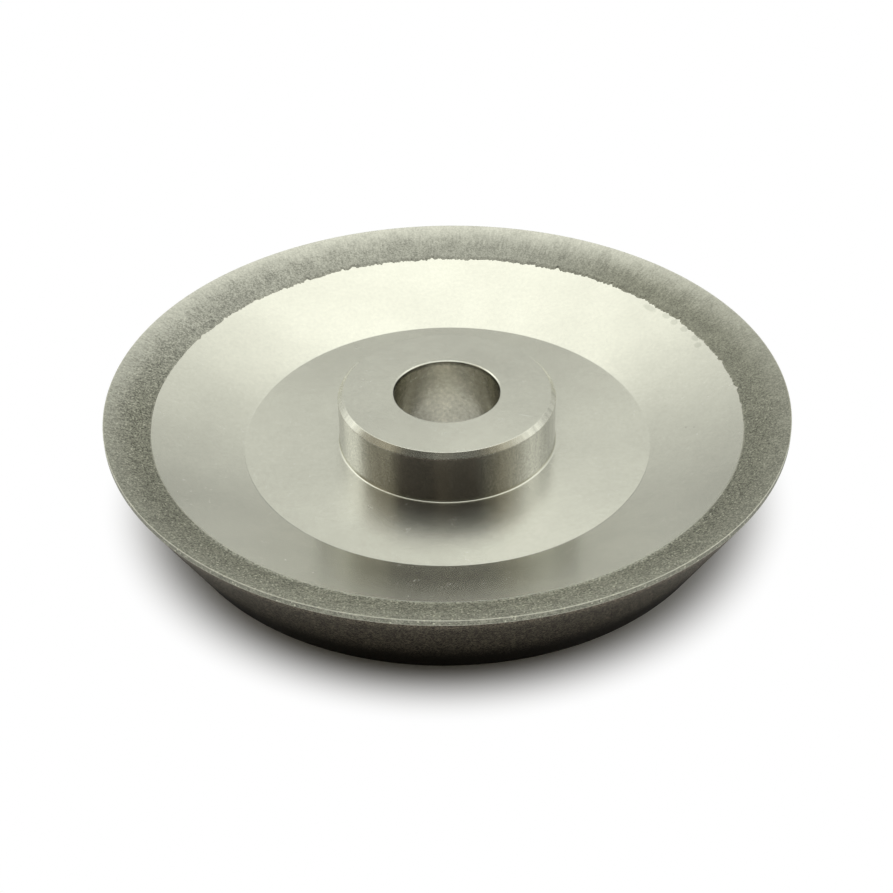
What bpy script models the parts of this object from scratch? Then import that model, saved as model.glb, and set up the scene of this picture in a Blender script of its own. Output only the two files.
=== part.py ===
"""A dish-shaped grinding wheel: a steel body turned in one piece, and the abrasive layer plated on its rim.

The wheel lies on its back face with its hub up. The origin is the centre of the back face, and +Z is the
spindle's axis. Lengths are in metres and angles in degrees.
"""

import math

import bmesh
import bpy
from mathutils import Vector

# Turned body
WHEEL_DIAMETER = 0.128  # over the plating, at the rim's narrow land
DISC_DIAMETER = 0.0772  # the flat between the hub and the dish
DISC_THICKNESS = 0.0103  # back face to the flat
DISH_ANGLE = 21.1  # rise of the dish towards the rim
LAND_HEIGHT = 0.0008  # upright strip under the rim's edge
OUTER_ANGLE = 60.0  # slope of the outer cone against the back face
BACK_CHAMFER = 0.0004

# Hub and bore
HUB_DIAMETER = 0.0410
HUB_HEIGHT = 0.0105  # above the flat
HUB_CHAMFER = 0.00095
HUB_FILLET = 0.0004  # left by the tool's nose where the hub meets the flat
BORE_DIAMETER = 0.020
BORE_CHAMFER = 0.0003

# Abrasive layer: one coat of grit held in plated nickel
PLATED_WIDTH = 0.0083  # of the dish, measured along the radius from the rim inwards
PLATING_THICKNESS = 0.00015
BOND_CLEARANCE = 0.00002  # keeps the two solids apart

# Facets
RING_FACETS = 120
FILLET_FACETS = 4
SMOOTH_BELOW = 15.0  # edges that turn by more than this stay crisp


def rim_corner():
    """The body's rim edge, before plating: (radius, height)."""
    radius = WHEEL_DIAMETER / 2 - PLATING_THICKNESS - BOND_CLEARANCE
    return radius, dish_height(radius)


def dish_height(radius):
    """Height of the dish's cone at a radius."""
    return DISC_THICKNESS + (radius - DISC_DIAMETER / 2) * math.tan(math.radians(DISH_ANGLE))


def outer_radius(height):
    """Radius of the outer cone at a height below the land."""
    rim_radius, rim_height = rim_corner()
    return rim_radius - (rim_height - LAND_HEIGHT - height) / math.tan(math.radians(OUTER_ANGLE))


def hub_fillet():
    """The quarter round from the hub's side to the flat, as (radius, height) points."""
    centre = Vector((HUB_DIAMETER / 2 + HUB_FILLET, DISC_THICKNESS + HUB_FILLET))
    turns = [math.pi + math.pi / 2 * step / FILLET_FACETS for step in range(FILLET_FACETS + 1)]
    return [centre + HUB_FILLET * Vector((math.cos(turn), math.sin(turn))) for turn in turns]


def body_profile():
    """The body's half section as a closed loop: over the hub, out to the rim, down the cone, back up the bore."""
    hub_radius = HUB_DIAMETER / 2
    hub_top = DISC_THICKNESS + HUB_HEIGHT
    bore_radius = BORE_DIAMETER / 2
    bore_mouth = bore_radius + BORE_CHAMFER
    rim_radius, rim_height = rim_corner()
    return [
        (bore_mouth, hub_top),
        (hub_radius - HUB_CHAMFER, hub_top),
        (hub_radius, hub_top - HUB_CHAMFER),
        *hub_fillet(),
        (DISC_DIAMETER / 2, DISC_THICKNESS),
        (rim_radius, rim_height),
        (rim_radius, rim_height - LAND_HEIGHT),
        (outer_radius(BACK_CHAMFER), BACK_CHAMFER),
        (outer_radius(0) - BACK_CHAMFER, 0),
        (bore_mouth, 0),
        (bore_radius, BORE_CHAMFER),
        (bore_radius, hub_top - BORE_CHAMFER),
    ]


def plated_line():
    """The stretch of the body's section that is plated: dish band, land and outer cone."""
    rim_radius, rim_height = rim_corner()
    band_start = rim_radius - PLATED_WIDTH
    return [
        (band_start, dish_height(band_start)),
        (rim_radius, rim_height),
        (rim_radius, rim_height - LAND_HEIGHT),
        (outer_radius(BACK_CHAMFER), BACK_CHAMFER),
    ]


def offset_line(points, distance):
    """An open line moved sideways, to the left of its course, with mitred corners."""
    points = [Vector(point) for point in points]
    courses = [(end - start).normalized() for start, end in zip(points, points[1:])]
    normals = [Vector((-course.y, course.x)) for course in courses]
    moved = [points[0] + distance * normals[0]]
    for point, before, after in zip(points[1:], normals, normals[1:]):
        mitre = (before + after) / (1 + before.dot(after))
        moved.append(point + distance * mitre)
    moved.append(points[-1] + distance * normals[-1])
    return moved


def layer_profile():
    """The plated layer's half section as a closed loop: out over its working face, back along the bond."""
    line = plated_line()
    face = offset_line(line, BOND_CLEARANCE + PLATING_THICKNESS)
    bond = offset_line(line, BOND_CLEARANCE)
    return face + bond[::-1]


def turned(name, profile, material):
    """A closed half section spun round the spindle's axis, as a new object."""
    shape = bmesh.new()
    corners = [shape.verts.new((radius, 0, height)) for radius, height in profile]
    edges = [shape.edges.new(ends) for ends in zip(corners, corners[1:] + corners[:1])]
    bmesh.ops.spin(
        shape,
        geom=corners + edges,
        cent=(0, 0, 0),
        axis=(0, 0, 1),
        angle=math.tau,
        steps=RING_FACETS,
        use_merge=True,
    )
    bmesh.ops.recalc_face_normals(shape, faces=shape.faces)
    mesh = bpy.data.meshes.new(name)
    shape.to_mesh(mesh)
    shape.free()
    mesh.shade_smooth()
    mesh.set_sharp_from_angle(angle=math.radians(SMOOTH_BELOW))
    mesh.materials.append(material)
    piece = bpy.data.objects.new(name, mesh)
    bpy.context.scene.collection.objects.link(piece)
    return piece


def finish(name, colour, metallic, roughness):
    """A plain material."""
    material = bpy.data.materials.new(name)
    material.use_nodes = True
    shader = material.node_tree.nodes["Principled BSDF"]
    shader.inputs["Base Color"].default_value = (*colour, 1)
    shader.inputs["Metallic"].default_value = metallic
    shader.inputs["Roughness"].default_value = roughness
    return material


def main():
    for item in list(bpy.data.objects):
        bpy.data.objects.remove(item)
    steel = finish("ground_steel", (0.62, 0.61, 0.57), metallic=1.0, roughness=0.28)
    grit = finish("nickel_bonded_grit", (0.25, 0.25, 0.20), metallic=0.6, roughness=0.55)
    turned("wheel_body", body_profile(), steel)
    turned("abrasive_layer", layer_profile(), grit)


main()
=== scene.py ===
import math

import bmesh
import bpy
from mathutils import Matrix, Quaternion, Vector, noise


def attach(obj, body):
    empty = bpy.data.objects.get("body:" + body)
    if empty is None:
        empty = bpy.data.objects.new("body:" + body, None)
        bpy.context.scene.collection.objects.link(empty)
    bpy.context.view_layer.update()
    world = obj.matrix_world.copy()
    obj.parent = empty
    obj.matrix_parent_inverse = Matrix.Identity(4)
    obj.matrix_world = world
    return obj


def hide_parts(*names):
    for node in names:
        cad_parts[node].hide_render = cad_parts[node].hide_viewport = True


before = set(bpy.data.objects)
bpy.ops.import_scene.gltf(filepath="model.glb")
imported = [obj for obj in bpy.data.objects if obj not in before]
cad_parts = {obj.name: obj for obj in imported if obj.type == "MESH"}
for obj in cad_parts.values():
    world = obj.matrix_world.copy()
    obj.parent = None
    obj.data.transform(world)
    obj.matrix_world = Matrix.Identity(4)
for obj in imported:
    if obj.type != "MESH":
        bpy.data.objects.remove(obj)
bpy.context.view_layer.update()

# A dish-shaped grinding wheel that lies on its back face with its hub up: the turned steel body, and the coat
# of grit plated on its rim. Lengths are in metres, angles in degrees, heights from the back face. The camera
# stands on the -Y side, which is the front; +X is the right and +Y the back.

# Turned body
WHEEL_DIAMETER = 0.128
DISC_DIAMETER = 0.0772
DISC_HEIGHT = 0.0103
DISH_ANGLE = 21.1
LAND_HEIGHT = 0.0008
OUTER_ANGLE = 60.0
BACK_CHAMFER = 0.0004
HUB_RADIUS = 0.0205
HUB_TOP = 0.0208
HUB_CHAMFER = 0.00095
HUB_FILLET = 0.0004
CHAMFER_FOOT = HUB_TOP - HUB_CHAMFER
BORE_RADIUS = 0.010
BORE_CHAMFER = 0.0003
BORE_LIP = 0.0002  # depth of the rounded chamfer at the hub's end of the bore

# Coat
COAT_WIDTH = 0.0083
COAT_THICKNESS = 0.00017
COAT_BITE = 0.00002  # how far the coat's underside is let into the steel
COAT_RAMP = 0.0007  # along the dish, over which the coat thins out to its masked edge

# Bright edges of the coat: partly bare worn edge, partly painted highlight
RIM_BRIGHT = 0.00013  # how far from its corner the rim's edge is bright
LAND_BRIGHT = 0.00010  # the same at the land's foot
MASK_BRIGHT = 0.0005  # outwards from the masked edge, over which its brightness falls by 1
MASK_TEAR = 0.0008  # over which the share of the tearing falls by 1
MASK_REACH = 0.001  # where both end

# Roundings, as how far from its corner each one starts
BROKEN_EDGE = 0.00005
SOFT_EDGE = 0.00009
MOUTH_EDGE = 0.00003
LIP_EDGE = 0.00012
SHOULDER_EDGE = 0.0002
RIM_EDGE = 0.00010
LAND_EDGE = 0.00006
CONE_EDGE = 0.00008

# Meshes
ROUND_STEPS = 5
BODY_STEPS = 720
BODY_HOLD = 0.00008  # from a corner to the point that keeps the shading beside it flat
COAT_STEPS = 1440
COAT_HOLD = 0.0001
SECTORS = 24  # equal parts of a turn, each spun in the same steps

# Camera
CAMERA_PLACE = Vector((0, -0.27973, 0.21245))
CAMERA_AIM = Vector((-0.00019, 0, 0.00783))
CAMERA_LENS = 72.82
CAMERA_ROLL = -0.804

# Studio
FLOOR_RADIUS = 6.0
LAMP_PLACE = (0, 0.10, 0.46)
LAMP_WIDTH = 0.6
LAMP_DEPTH = 0.44
LAMP_RADIANCE = 0.1
LAMP_COLOUR = (1, 1, 0.96)
WHITE = (1, 1, 1)
STUDIO_WHITE = (1, 1.01, 0.96)
STUDIO_BROWN = (1, 0.84, 0.52)
CARD_COLOUR = (0.88, 0.87, 0.88, 1)

# Colours of the steel
STEEL_DARKER = (0.60, 0.5975, 0.526)
STEEL_LIGHTER = (0.64, 0.6375, 0.561)
HUB_SIDE_SHADE = (1, 1, 1.09)
# Painted shade on the hub's side in front: darker and browner
HUB_FRONT_PAINTED_SHADE = (0.80, 0.74, 0.72)
BORE_SHADE = (1.03, 1.01, 0.995)
SCUFF_COLOUR = (0.88, 0.88, 0.84)
SPECK_COLOUR = (0.12, 0.12, 0.10)
STAIN_COLOUR = (0.30, 0.31, 0.26)

# Colours of the coat
GRIT_DARK = (0.095, 0.0957, 0.077)
GRIT_LIGHT = (0.37, 0.371, 0.301)
WORN_NICKEL = (0.54, 0.538, 0.474)
PALE_SHADE = (1.40, 1.40, 1.50)
# Painted shade on the outer cone: darker and browner
CONE_PAINTED_SHADE = (0.25, 0.219, 0.208)
# Bright edges, partly bare worn edge and partly painted highlight, and painted highlight dots
EDGE_AND_HIGHLIGHT_COLOUR = (0.80, 0.80, 0.70)
# Painted glints on a few grains
PAINTED_GLINT_COLOUR = (0.85, 0.85, 0.70)

# Marks of handling on the steel, in millimetres: X and Y, the turn in degrees and the half sizes
SCUFFS = [
    ((-47.7, -19.3), 20, (0.35, 0.20)),
    ((-46.1, -22.6), 40, (0.30, 0.16)),
    ((-32.3, -35.8), -25, (0.45, 0.18)),
    ((-10.5, -41.2), 10, (0.30, 0.20)),
    ((0.5, -44.4), 88, (0.45, 0.14)),
    ((8.1, -42.6), 12, (0.70, 0.12)),
    ((-10.7, 11.1), 15, (0.45, 0.15)),
    ((-14.2, -7.9), -30, (0.30, 0.12)),
    ((14.4, -8.4), -18, (1.70, 0.07)),
]
SPECKS = [
    ((45.2, -1.7), 0, (0.16, 0.16)),
    ((46.6, -2.5), 0, (0.20, 0.14)),
]
STAINS = [
    ((41.8, 35.2), -50, (2.10, 0.80)),
    ((44.8, 31.9), -54, (1.20, 0.80)),
    ((46.2, 29.6), -57, (1.00, 0.90)),
    ((47.9, 26.9), -60, (1.10, 0.90)),
    ((49.7, 23.5), -64, (1.20, 0.80)),
    ((50.0, 21.3), -67, (1.00, 0.90)),
]


def dish_height(radius):
    """Height of the steel dish at a radius."""
    return DISC_HEIGHT + (radius - DISC_DIAMETER / 2) * math.tan(math.radians(DISH_ANGLE))


RIM_RADIUS = WHEEL_DIAMETER / 2 - COAT_THICKNESS
RIM_HEIGHT = dish_height(RIM_RADIUS)
MASK_RADIUS = RIM_RADIUS - COAT_WIDTH


def outer_radius(height):
    """Radius of the steel's outer cone at a height below the land."""
    return RIM_RADIUS - (RIM_HEIGHT - LAND_HEIGHT - height) / math.tan(math.radians(OUTER_ANGLE))


def top_height(radius):
    """Height of the steel's upper side at a radius: the hub's top, the flat disc or the dish."""
    if radius < HUB_RADIUS:
        return HUB_TOP
    return max(DISC_HEIGHT, dish_height(radius))


def closed_line(corners):
    """A closed half section in the XZ plane, from corners given as radius, height and rounding."""
    shape = bmesh.new()
    points = [shape.verts.new((radius, 0, height)) for radius, height, _ in corners]
    for ends in zip(points, points[1:] + points[:1]):
        shape.edges.new(ends)
    for point, (_, _, rounding) in zip(points, corners):
        if rounding:
            bmesh.ops.bevel(
                shape,
                geom=[point],
                offset=rounding,
                offset_type="OFFSET",
                segments=ROUND_STEPS,
                profile=0.5,
                affect="VERTICES",
                material=-1,
            )
    return shape


def hold_corners(shape, reach):
    """Adds a point close to each end of every long stretch, which keeps the shading of its middle flat."""
    stretches = [edge for edge in shape.edges if edge.calc_length() > 4 * reach]
    for edge in stretches:
        start, end = edge.verts
        length = edge.calc_length()
        added = bmesh.utils.edge_split(edge, start, reach / length)[1]
        far = next(part for part in added.link_edges if end in part.verts)
        bmesh.utils.edge_split(far, end, reach / (length - reach))


def turn_round(shape, steps):
    """Spins a half section through one sector and repeats that round the spindle's axis, faces outwards."""
    section = shape.verts[:] + shape.edges[:]
    sector = math.tau / SECTORS
    bmesh.ops.spin(
        shape,
        geom=section,
        cent=(0, 0, 0),
        axis=(0, 0, 1),
        angle=sector,
        steps=steps // SECTORS,
        use_merge=False,
    )
    bmesh.ops.spin(
        shape,
        geom=shape.verts[:] + shape.edges[:] + shape.faces[:],
        cent=(0, 0, 0),
        axis=(0, 0, 1),
        angle=math.tau - sector,
        steps=SECTORS - 1,
        use_duplicate=True,
    )
    bmesh.ops.remove_doubles(shape, verts=shape.verts, dist=1e-6)
    bmesh.ops.recalc_face_normals(shape, faces=shape.faces)


def finished(name, shape, material):
    """An object with smooth shading from a finished mesh."""
    mesh = bpy.data.meshes.new(name)
    shape.to_mesh(mesh)
    shape.free()
    mesh.shade_smooth()
    mesh.materials.append(material)
    piece = bpy.data.objects.new(name, mesh)
    bpy.context.scene.collection.objects.link(piece)
    return piece


def steel_body(material):
    """Hub, disc, dish, rim, cone, back and bore, turned in one piece."""
    mouth = BORE_RADIUS + BORE_CHAMFER
    corners = [
        (mouth, HUB_TOP, MOUTH_EDGE),
        (HUB_RADIUS - HUB_CHAMFER, HUB_TOP, BROKEN_EDGE),
        (HUB_RADIUS, CHAMFER_FOOT, SOFT_EDGE),
        (HUB_RADIUS, DISC_HEIGHT, HUB_FILLET),
        (DISC_DIAMETER / 2, DISC_HEIGHT, SOFT_EDGE),
        (RIM_RADIUS, RIM_HEIGHT, 0),
        (RIM_RADIUS, RIM_HEIGHT - LAND_HEIGHT, 0),
        (outer_radius(BACK_CHAMFER), BACK_CHAMFER, BROKEN_EDGE),
        (outer_radius(0) - BACK_CHAMFER, 0, BROKEN_EDGE),
        (mouth, 0, BROKEN_EDGE),
        (BORE_RADIUS, BORE_CHAMFER, BROKEN_EDGE),
        (BORE_RADIUS, HUB_TOP - BORE_LIP, LIP_EDGE),
    ]
    shape = closed_line(corners)
    hold_corners(shape, BODY_HOLD)
    turn_round(shape, BODY_STEPS)
    return finished("turned_steel_body", shape, material)


def mitred(points, distance):
    """An open line moved sideways, to the left of its course, with mitred corners."""
    courses = [(end - start).normalized() for start, end in zip(points, points[1:])]
    normals = [Vector((-course.y, course.x)) for course in courses]
    turns = [(before + after) / (1 + before.dot(after)) for before, after in zip(normals, normals[1:])]
    return [point + distance * side for point, side in zip(points, [normals[0], *turns, normals[-1]])]


def mask_wander(angle):
    """How far the coat's inner edge strays outwards at an angle: torn at the back, nearly even in front."""
    radius = MASK_RADIUS * 1000
    place = Vector((radius * math.cos(angle), radius * math.sin(angle), 0))
    back = max(0.0, math.sin(angle + math.radians(12))) ** 0.5
    steps = noise.cell(place / 1.9)
    lumps = noise.noise(place / 1.1)
    tears = noise.noise(place * 2.4)
    notches = max(0.0, noise.noise(place / 1.6 + Vector((0, 0, 7))) - 0.3)
    torn = 18 * steps + 24 * lumps + 36 * tears + 150 * notches
    hundredths = back * torn + 5 * tears + 5 * noise.noise(place / 9)
    return 0.00001 * hundredths


def shape_edges(shape, rim, land_foot, slope):
    """Tears the coat's inner edge along the dish. The attribute edge is the brightness of each edge: partly
    bare worn edge, and partly painted highlight, strongest in front.
    """
    edge = shape.verts.layers.float.new("edge")
    for point in shape.verts:
        radius = point.co.xy.length
        section = Vector((radius, point.co.z))
        past_mask = radius - MASK_RADIUS
        back = point.co.y / radius
        # Brightness of bare worn edges, with painted highlight added towards the front
        if (section - rim).length < RIM_BRIGHT:
            point[edge] = 0.55 - 0.45 * back
        if (section - land_foot).length < LAND_BRIGHT:
            point[edge] = 0.35
        if past_mask < MASK_REACH and point.co.z > DISC_HEIGHT:
            point[edge] = max(0.0, 0.3 + 0.8 * max(0.0, -back) - past_mask / MASK_BRIGHT)
            share = min(1.0, 1.4 - past_mask / MASK_TEAR)
            move = max(0.0, share) * mask_wander(math.atan2(point.co.y, point.co.x)) * slope
            outward = point.co.xy.normalized() * move.x
            point.co += Vector((*outward, move.y))


def grit_coat(material):
    """One layer over the dish's outer band, the land and the outer cone."""
    line = [
        Vector((MASK_RADIUS, dish_height(MASK_RADIUS))),
        Vector((RIM_RADIUS, RIM_HEIGHT)),
        Vector((RIM_RADIUS, RIM_HEIGHT - LAND_HEIGHT)),
        Vector((outer_radius(BACK_CHAMFER), BACK_CHAMFER)),
    ]
    rim, land_foot, cone_end = mitred(line, COAT_THICKNESS)[1:]
    bond = mitred(line, -COAT_BITE)
    slope = (line[1] - line[0]).normalized()
    upright = Vector((-slope.y, slope.x))
    shoulder = line[0] + COAT_RAMP * slope + COAT_THICKNESS * upright
    corners = [
        (*line[0], 0),
        (*shoulder, SHOULDER_EDGE),
        (*rim, RIM_EDGE),
        (*land_foot, LAND_EDGE),
        (*cone_end, CONE_EDGE),
        *[(*point, 0) for point in bond[::-1]],
    ]
    shape = closed_line(corners)
    hold_corners(shape, COAT_HOLD)
    turn_round(shape, COAT_STEPS)
    shape_edges(shape, rim, land_foot, slope)
    return finished("plated_grit_coat", shape, material)


class Wire:
    """An output of a node. Arithmetic written with wires adds Math nodes."""

    def __init__(self, nodes, maker, socket):
        self.nodes = nodes
        self.maker = maker
        self.socket = socket

    def out(self, name):
        """Another output of the same node."""
        return Wire(self.nodes, self.maker, self.maker.outputs[name])

    def __add__(self, other):
        return self.nodes.maths("ADD", self, other)

    __radd__ = __add__

    def __sub__(self, other):
        return self.nodes.maths("SUBTRACT", self, other)

    def __rsub__(self, other):
        return self.nodes.maths("SUBTRACT", other, self)

    def __mul__(self, other):
        return self.nodes.maths("MULTIPLY", self, other)

    __rmul__ = __mul__


class Nodes:
    """The node tree of one material or of the world."""

    def __init__(self, owner):
        owner.use_nodes = True
        self.tree = owner.node_tree
        self.tree.nodes.clear()

    def node(self, kind, settings=None, sockets=None):
        """A node of a type, with its settings, then its sockets' values or wires. Gives its first output."""
        maker = self.tree.nodes.new("ShaderNode" + kind)
        for name, value in (settings or {}).items():
            setattr(maker, name, value)
        for name, value in (sockets or {}).items():
            if isinstance(value, Wire):
                self.tree.links.new(value.socket, maker.inputs[name])
            else:
                maker.inputs[name].default_value = value
        return Wire(self, maker, maker.outputs[0] if maker.outputs else None)

    def maths(self, operation, first, second=0.0):
        return self.node("Math", {"operation": operation}, {0: first, 1: second})

    def fade(self, value, start, end):
        """0 where the value is at start, 1 where it is at end, and smooth between."""
        limits = {"Value": value, "From Min": start, "From Max": end}
        return self.node("MapRange", {"interpolation_type": "SMOOTHSTEP"}, limits)

    def band(self, value, rise, fall):
        """From 0 to 1 over the rise, and back to 0 over the fall. Both are given as a start and an end."""
        return self.fade(value, *rise) * self.fade(value, fall[1], fall[0])

    def colour_mix(self, share, first, second):
        """The first colour, going over to the second as the share goes from 0 to 1."""
        colours = [(*colour, 1) if isinstance(colour, tuple) else colour for colour in (first, second)]
        # The node's colours are its inputs 6 and 7 and its output 2
        sockets = {0: share, 6: colours[0], 7: colours[1]}
        return self.node("Mix", {"data_type": "RGBA"}, sockets).out(2)

    def colour_times(self, colour, value):
        """A colour made lighter or darker by a value."""
        return self.node("VectorMath", {"operation": "SCALE"}, {0: colour, "Scale": value})

    def shaded(self, colour, shade):
        """A colour multiplied by another."""
        return self.node("VectorMath", {"operation": "MULTIPLY"}, {0: colour, 1: shade})

    def length(self, vector):
        return self.node("VectorMath", {"operation": "LENGTH"}, {0: vector}).out("Value")

    def z_part(self, vector):
        return self.node("SeparateXYZ", {}, {0: vector}).out("Z")

    def flat_radius(self, place):
        """Distance from the spindle's axis."""
        return self.length(self.shaded(place, (1, 1, 0)))

    def towards(self, place, across, along):
        """How far a place lies in a direction, which is given as X and Y."""
        sockets = {0: place, 1: (across, along, 0)}
        return self.node("VectorMath", {"operation": "DOT_PRODUCT"}, sockets).out("Value")

    def grain(self, place, size, detail=2.0):
        """Noise with lumps of about a size, from about 0.25 to 0.75."""
        return self.node("TexNoise", {}, {"Vector": place, "Scale": 1 / size, "Detail": detail})

    def streaks(self, place, run, ring, size):
        """Noise that changes round the axis, on a ring of a radius, and slowly along another measure."""
        around = self.node("VectorMath", {"operation": "NORMALIZE"}, {0: self.shaded(place, (1, 1, 0))})
        slow = self.node("CombineXYZ", {}, {"Z": run})
        settings = {"operation": "MULTIPLY_ADD"}
        return self.grain(self.node("VectorMath", settings, {0: around, 1: (ring, ring, 0), 2: slow}), size)

    def surface(self, tone, metallic, roughness, relief, depth, constants=None):
        """A Principled shader with a bump, led to the output. Constants are values of its other sockets."""
        bump = self.node("Bump", {}, {"Strength": 1.0, "Distance": depth, "Height": relief})
        sockets = {"Base Color": tone, "Metallic": metallic, "Roughness": roughness, "Normal": bump}
        shader = self.node("BsdfPrincipled", {}, {**sockets, **(constants or {})})
        self.node("OutputMaterial", {}, {"Surface": shader})


def marks(nodes, place, table, full=0.5):
    """1 inside the ovals of a table, fading to 0 at their rims from a share of their size outwards."""
    total = 0.0
    for flat, turn, (long, wide) in table:
        centre = Vector(flat) / 1000
        sockets = {"Vector": place, "Location": (*centre, top_height(centre.length))}
        sockets["Rotation"] = (0, 0, math.radians(turn))
        sockets["Scale"] = (long / 1000, wide / 1000, 0.001)
        inside = nodes.node("Mapping", {"vector_type": "TEXTURE"}, sockets)
        total = total + nodes.fade(nodes.length(inside), 1.0, full)
    return nodes.node("Clamp", {}, {"Value": total})


def hub_masks(nodes, radius, height):
    """Two masks: 1 on the hub's side, and 1 on its chamfer up to the rounded top edge."""
    chamfer = nodes.fade(height, CHAMFER_FOOT - 0.00005, CHAMFER_FOOT + 0.00007)
    inner = HUB_RADIUS - HUB_CHAMFER
    chamfer = chamfer * nodes.fade(radius, inner - 0.00015, inner - 0.00007)
    rise = (HUB_RADIUS - 0.0005, HUB_RADIUS - 0.00015)
    fall = (HUB_RADIUS + 0.0003, HUB_RADIUS + 0.001)
    above_fillet = nodes.fade(height, DISC_HEIGHT + 0.0002, DISC_HEIGHT + 0.0007)
    side = above_fillet * nodes.band(radius, rise, fall) * (1 - chamfer)
    return side, chamfer * nodes.fade(height, HUB_TOP - 0.00001, HUB_TOP - 0.00008)


def bore_mottle_and_painted_shading(nodes, place, height, mottle, blotches):
    """Lightness of the bore's wall: mottled, with painted light in its middle and painted shade at its sides,
    low down and darkest under its mouth.
    """
    off_centre = nodes.maths("ABSOLUTE", nodes.towards(place, 1, 0) - 0.001)
    light = 1.20 - 0.30 * nodes.fade(off_centre, 0.0015, 0.0095)
    light = light - 0.55 * nodes.fade(height, HUB_TOP - 0.0011, HUB_TOP - 0.0005)
    light = light - 0.27 * nodes.fade(height, HUB_TOP - 0.0086, HUB_TOP - 0.0123)
    return light + 0.55 * (mottle - 0.5) + 0.4 * (blotches - 0.5)


def satin_steel():
    """Fine ground steel with a warm tone: an even fine grain, faint turning rings and some marks of handling.

    The hub's side is streaked, and made darker all round and darker and browner in front as painted shade;
    the bore's wall is mottled, with painted light and shade.
    """
    material = bpy.data.materials.new("satin_steel")
    nodes = Nodes(material)
    place = nodes.node("TexCoord").out("Object")
    radius = nodes.flat_radius(place)
    height = nodes.z_part(place)
    side, chamfer = hub_masks(nodes, radius, height)
    clouds = nodes.grain(place, 0.014, 3.0)
    blotches = nodes.grain(place, 0.0022, 2.0)
    mottle = nodes.grain(place, 0.0007, 4.0)
    fine = nodes.grain(place, 0.00028, 1.0)
    rings = nodes.grain(nodes.node("CombineXYZ", {}, {"X": radius, "Y": height}), 0.00022, 2.0)
    streaks = nodes.streaks(place, 0.15 * (radius + height), HUB_RADIUS, 0.0011)

    tone = nodes.colour_mix(nodes.fade(clouds, 0.3, 0.7), STEEL_DARKER, STEEL_LIGHTER)
    # Blotches and mottle vary the tone; the hub's side is made darker all round as painted shade
    tone = nodes.colour_times(tone, 0.91 + 0.05 * blotches + 0.14 * mottle - 0.15 * side)
    streaked = (0.35 * side + 0.65 * chamfer) * (streaks - 0.5)
    tone = nodes.colour_times(tone, 1 + streaked + 0.9 * side * (fine - 0.5))
    tone = nodes.colour_mix(side, tone, nodes.shaded(tone, HUB_SIDE_SHADE))
    # Painted shade: the hub's side darker and browner in front
    painted_front_shade = side * nodes.fade(nodes.towards(place, 0.09, 1), -0.0185, -0.0197)
    tone = nodes.colour_mix(painted_front_shade, tone, nodes.shaded(tone, HUB_FRONT_PAINTED_SHADE))
    # The bore's wall: its mottle, and painted light and shade
    bore = nodes.fade(radius, BORE_RADIUS + 0.00012, BORE_RADIUS + 0.00003)
    light = bore_mottle_and_painted_shading(nodes, place, height, mottle, blotches)
    tone = nodes.colour_mix(bore, tone, nodes.colour_times(nodes.shaded(tone, BORE_SHADE), light))
    tone = nodes.colour_mix(0.45 * marks(nodes, place, SCUFFS), tone, SCUFF_COLOUR)
    tone = nodes.colour_mix(0.5 * marks(nodes, place, SPECKS), tone, SPECK_COLOUR)
    tone = nodes.colour_mix(0.28 * marks(nodes, place, STAINS, 0.55), tone, STAIN_COLOUR)

    roughness = 0.225 + 0.03 * blotches + 0.04 * fine - 0.04 * side + 0.01 * chamfer
    relief = fine * (0.4 - 0.1 * side - 0.4 * chamfer) + rings * 0.15 * (1 - chamfer)
    stretched = {"Anisotropic": 0.7, "Anisotropic Rotation": 0.25}
    nodes.surface(tone, 1.0, roughness, relief, 0.000006, stretched)
    return material


class GritPatterns:
    """The coat's patterns: each grain's shade and dome, small and coarse lumps, and patches."""

    def __init__(self, nodes, place):
        grains = nodes.node("TexVoronoi", {}, {"Vector": place, "Scale": 1 / 0.00018})
        self.shade = nodes.node("SeparateXYZ", {}, {0: grains.out("Color")})
        self.dome = 1 - grains
        self.lumps = nodes.grain(place, 0.0004, 2.0)
        self.coarse = nodes.grain(place, 0.0009, 1.0)
        self.patches = nodes.grain(place, 0.004, 3.0)


def cone_grain_and_painted_shading(nodes, place, height, grit):
    """Lightness of the coat on the outer cone, painted shade and light with grain: dark low down, lightest
    under the rim, darker at the left.
    """
    level = height + 0.003 * (grit.lumps - 0.5) + 0.002 * (grit.shade - 0.5)
    light = 0.14 + 1.05 * nodes.fade(level, 0.0040, 0.0104) + nodes.fade(height, 0.0160, 0.0195)
    grains = 0.5 * (grit.coarse - 0.5) + 1.8 * (grit.lumps - 0.5) + 0.9 * (grit.shade - 0.5)
    light = light * (1.03 + grains)
    return light * (1 - 0.16 * nodes.fade(nodes.towards(place, 1, 0), -0.005, -0.040))


def painted_glints(nodes, place):
    """1 on a few scattered grains, which get a painted glint."""
    points = nodes.node("TexVoronoi", {}, {"Vector": place, "Scale": 1 / 0.0005})
    chosen = nodes.maths("GREATER_THAN", nodes.node("SeparateXYZ", {}, {0: points.out("Color")}), 0.78)
    return chosen * nodes.fade(points, 0.45, 0.2)


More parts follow.
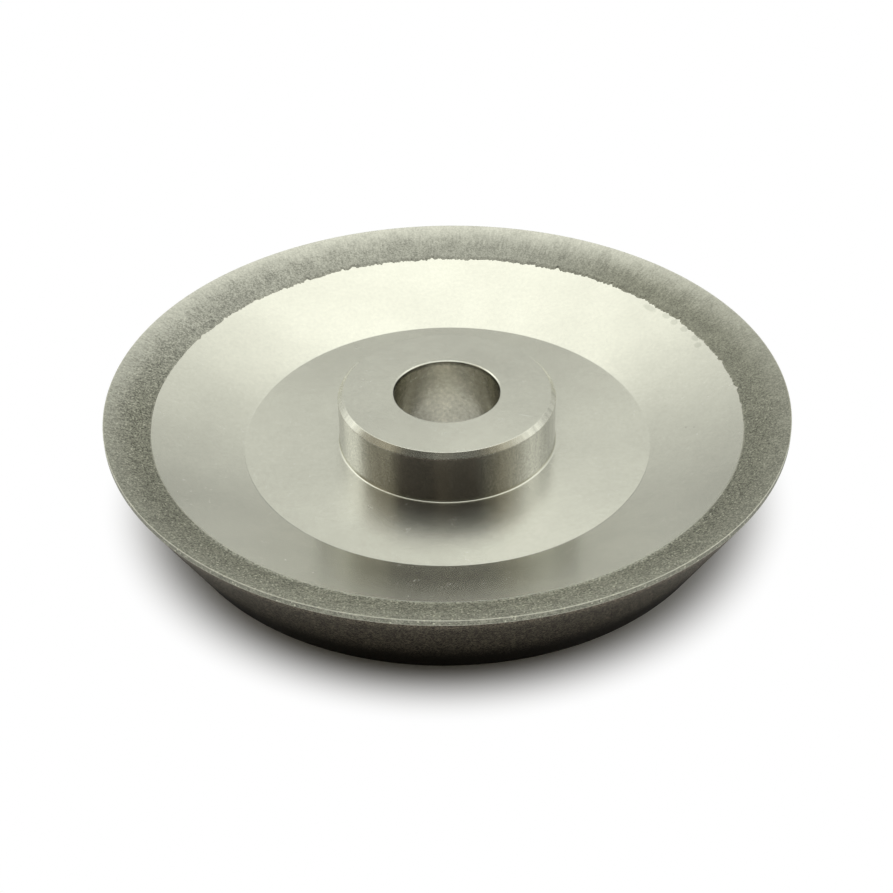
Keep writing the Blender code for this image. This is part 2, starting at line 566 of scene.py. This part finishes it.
def plated_grit():
    """Grit held in plated nickel: fine grains, each with its own shade, and smooth worn nickel near the rim.

    The outer cone is browner and darker, the darkness painted shade, and the coat's edges are bright, partly
    bare worn edge and partly painted highlight; a few grains carry painted glints.
    """
    material = bpy.data.materials.new("plated_grit")
    nodes = Nodes(material)
    place = nodes.node("TexCoord").out("Object")
    radius = nodes.flat_radius(place)
    height = nodes.z_part(place)
    slope = nodes.z_part(nodes.node("NewGeometry").out("True Normal"))
    cone = nodes.fade(slope, -0.2, -0.35)
    land = nodes.fade(slope, 0.5, 0.2) * (1 - cone)
    grit = GritPatterns(nodes, place)

    # Stretches of the turn whose wear, grain and lightness differ: the coat is lighter in front and paler and
    # bluer at the back
    front = nodes.fade(nodes.towards(place, 0, 1), -0.036, -0.062)
    worn_back = nodes.fade(nodes.towards(place, -0.26, 0.97), -0.030, 0.055)
    smooth_back = nodes.fade(nodes.towards(place, 0.25, 0.97), -0.035, 0.040)
    pale_back = nodes.fade(nodes.towards(place, -0.4, 0.9), 0.018, 0.050)
    rough_left = nodes.fade(nodes.towards(place, -0.8, 0.5), 0.030, 0.056)
    calm_right = nodes.fade(nodes.towards(place, 0.7, 0.7), 0.035, 0.058)

    # Wear near the rim, with a ragged and streaked inner border
    streaks = nodes.streaks(place, 0.3 * radius, 0.062, 0.0005)
    ragged = 0.002 * grit.patches + 0.003 * streaks + 0.001 * grit.lumps
    worn = nodes.fade(radius + ragged, RIM_RADIUS - 0.00303, RIM_RADIUS + 0.00457) * (0.25 + 0.75 * worn_back)

    # Grains from dark to light
    grains = 0.7 * (grit.shade - 0.5) + (1.2 + 0.8 * rough_left) * (grit.lumps - 0.5)
    grains = grains + (0.3 + 0.3 * front) * (grit.coarse - 0.5) + 0.9 * worn_back * (streaks - 0.5)
    contrast = (1 - 0.45 * smooth_back - 0.15 * calm_right + cone) * (1 - 0.3 * pale_back)
    mixed = 0.5 + contrast * grains + 0.3 * (grit.patches - 0.5)
    tone = nodes.colour_mix(nodes.fade(mixed, 0.0, 1.0), GRIT_DARK, GRIT_LIGHT)
    # The coat is made lighter in front; the upright land is darker as painted shade
    tone = nodes.colour_times(tone, 1 + 0.26 * front - 0.36 * land)
    tone = nodes.colour_mix(pale_back, tone, nodes.shaded(tone, PALE_SHADE))
    tone = nodes.colour_mix(worn, tone, nodes.colour_times(WORN_NICKEL, 0.8 + 0.4 * grit.lumps))
    # Painted shade: the outer cone made darker and browner, darkest low down and at the left, with grain
    brown = nodes.colour_times(nodes.shaded(tone, CONE_PAINTED_SHADE), cone_grain_and_painted_shading(nodes, place, height, grit))
    tone = nodes.colour_mix(cone, tone, brown)

    # Bright edges, partly bare worn edge and partly painted highlight strongest in front; painted highlight
    # dots along the masked edge in front; and painted glints on a few grains
    edge = nodes.node("Attribute", {"attribute_name": "edge"}).out("Fac")
    tone = nodes.colour_mix(edge * (0.5 + 0.5 * grit.lumps), tone, EDGE_AND_HIGHLIGHT_COLOUR)
    # Painted highlight dots along the masked edge in front
    painted_highlight_dots = nodes.fade(radius, MASK_RADIUS + 0.00147, MASK_RADIUS + 0.00077)
    painted_highlight_dots = painted_highlight_dots * nodes.fade(nodes.towards(place, 0, 1), -0.028, -0.048)
    painted_highlight_dots = painted_highlight_dots * nodes.fade(grit.lumps, 0.42, 0.62) * (1 - cone)
    tone = nodes.colour_mix(0.6 * painted_highlight_dots, tone, EDGE_AND_HIGHLIGHT_COLOUR)
    # Painted glints on a few grains, stronger in front
    painted_glint = painted_glints(nodes, place) * (1 - cone) * (1 - 0.8 * smooth_back)
    tone = nodes.colour_mix(painted_glint * (0.40 + 0.25 * front), tone, PAINTED_GLINT_COLOUR)

    roughness = 0.52 - 0.10 * worn - 0.05 * painted_glint + 0.10 * edge
    relief = (grit.dome * 0.7 + grit.shade * 0.5 + grit.lumps * 0.5) * (1 - 0.5 * smooth_back)
    nodes.surface(tone, 1 - 0.35 * edge, roughness, relief, 0.00002)
    return material


def studio_floor():
    """White card: lit like any surface near the wheel, where the shadow lies, and plain white further out.

    The metal mirrors it as white only well away from the wheel, and sees a painted glow, half white, under
    the bore.
    """
    material = bpy.data.materials.new("white_card")
    nodes = Nodes(material)
    radius = nodes.length(nodes.node("TexCoord").out("Object"))
    seen = nodes.node("LightPath")
    mirrored = seen.out("Is Glossy Ray") + seen.out("Is Transmission Ray")
    # A painted glow on the card under the bore, seen only in reflections, which lights the bore's wall
    painted_glow_under_bore = 0.50 * nodes.fade(radius, 0.0100, 0.0085)
    far = nodes.fade(radius, 0.056, 0.095)
    white = seen * nodes.fade(radius, 0.0525, 0.067) + mirrored * (far + painted_glow_under_bore)
    card = nodes.node("BsdfDiffuse", {}, {"Color": CARD_COLOUR})
    glow_colour = nodes.colour_mix(seen, STUDIO_WHITE, WHITE)
    glow = nodes.node("Emission", {}, {"Color": glow_colour, "Strength": 1.0})
    mixed = nodes.node("MixShader", {}, {0: white, 1: card, 2: glow})
    nodes.node("OutputMaterial", {}, {"Surface": mixed})
    shape = bmesh.new()
    bmesh.ops.create_circle(shape, cap_ends=True, radius=FLOOR_RADIUS, segments=96)
    floor = finished("floor", shape, material)


def room_light(nodes):
    """Strength and tint of the room's light by direction: brightest overhead and dark in front.

    The turn is 0 in front, 90 at the right, -90 at the left and 180 at the back.
    """
    direction = nodes.node("SeparateXYZ", {}, {0: nodes.node("TexCoord").out("Generated")})
    degrees = 180 / math.pi
    elevation = nodes.maths("ARCSINE", direction.out("Z")) * degrees
    turn = nodes.maths("ARCTAN2", direction.out("X"), direction.out("Y") * -1) * degrees
    from_front = nodes.maths("ABSOLUTE", turn)

    # The sky, with a narrow dark card low at the back, and above it a light card beside a weak dark one
    sky = 0.77 + 0.79 * nodes.fade(elevation, 25, 71)
    low = nodes.band(elevation, (16, 21), (30, 32))
    sky = sky - 0.75 * low * nodes.fade(from_front, 169.5, 172)
    high = nodes.band(elevation, (37, 40), (44, 49))
    sky = sky + high * (0.48 * nodes.fade(turn, 164, 172) - 0.28 * nodes.fade(from_front, 174, 180))

    # The dark front, which ends at the left in two steps and at the right in one
    level = nodes.band(elevation, (3, 14), (58, 80))
    left = 0.42 * nodes.fade(turn, -52, -70) + 0.56 * nodes.fade(turn, -94, -108)
    right = 0.98 * nodes.fade(turn, 33, 100)
    front = level * (0.98 - left - right)

    # A bright strip at each side, and a faint one in front
    strips = 0.95 * nodes.band(turn, (-142, -130), (-110, -100))
    strips = strips + 0.62 * nodes.band(turn, (84, 98), (106, 124))
    strips = strips * nodes.band(elevation, (10, 28), (44, 62))
    glint = 0.05 * nodes.band(turn, (-18, -8), (-2, 6))
    strength = sky * (1 - front) + level * (strips + glint)
    brown = front * nodes.fade(elevation, 70, 48)
    return strength, nodes.colour_mix(brown, STUDIO_WHITE, STUDIO_BROWN)


def studio_light():
    """Soft light from all round, which the camera itself sees as plain white."""
    world = bpy.data.worlds.new("studio")
    bpy.context.scene.world = world
    nodes = Nodes(world)
    strength, tint = room_light(nodes)
    seen = nodes.node("LightPath")
    shown = {"Color": nodes.colour_mix(seen, tint, WHITE), "Strength": strength + seen * (1 - strength)}
    nodes.node("OutputWorld", {}, {"Surface": nodes.node("Background", {}, shown)})


def overhead_lamp():
    """A weak, broad lamp over the wheel."""
    lamp = bpy.data.objects.new("overhead", bpy.data.lights.new("overhead", "AREA"))
    bpy.context.scene.collection.objects.link(lamp)
    lamp.location = LAMP_PLACE
    lamp.data.shape = "RECTANGLE"
    lamp.data.size = LAMP_WIDTH
    lamp.data.size_y = LAMP_DEPTH
    lamp.data.color = LAMP_COLOUR
    lamp.data.energy = LAMP_RADIANCE * math.pi * LAMP_WIDTH * LAMP_DEPTH
    lamp.visible_camera = False


def photo_camera():
    """The camera at the photograph's viewing angle."""
    camera = bpy.data.objects.new("camera", bpy.data.cameras.new("camera"))
    bpy.context.scene.collection.objects.link(camera)
    camera.location = CAMERA_PLACE
    roll = Quaternion((0, 0, 1), math.radians(CAMERA_ROLL))
    camera.rotation_mode = "QUATERNION"
    camera.rotation_quaternion = (CAMERA_AIM - CAMERA_PLACE).to_track_quat("-Z", "Y") @ roll
    camera.data.lens = CAMERA_LENS
    camera.data.sensor_width = 36
    camera.data.clip_start = 0.01
    bpy.context.scene.camera = camera


body = steel_body(satin_steel())
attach(body, "root")
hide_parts("wheel_body")

coat = grit_coat(plated_grit())
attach(coat, "root")
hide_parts("abrasive_layer")

studio_floor()
studio_light()
overhead_lamp()
photo_camera()
bpy.context.scene.view_settings.view_transform = "Standard"
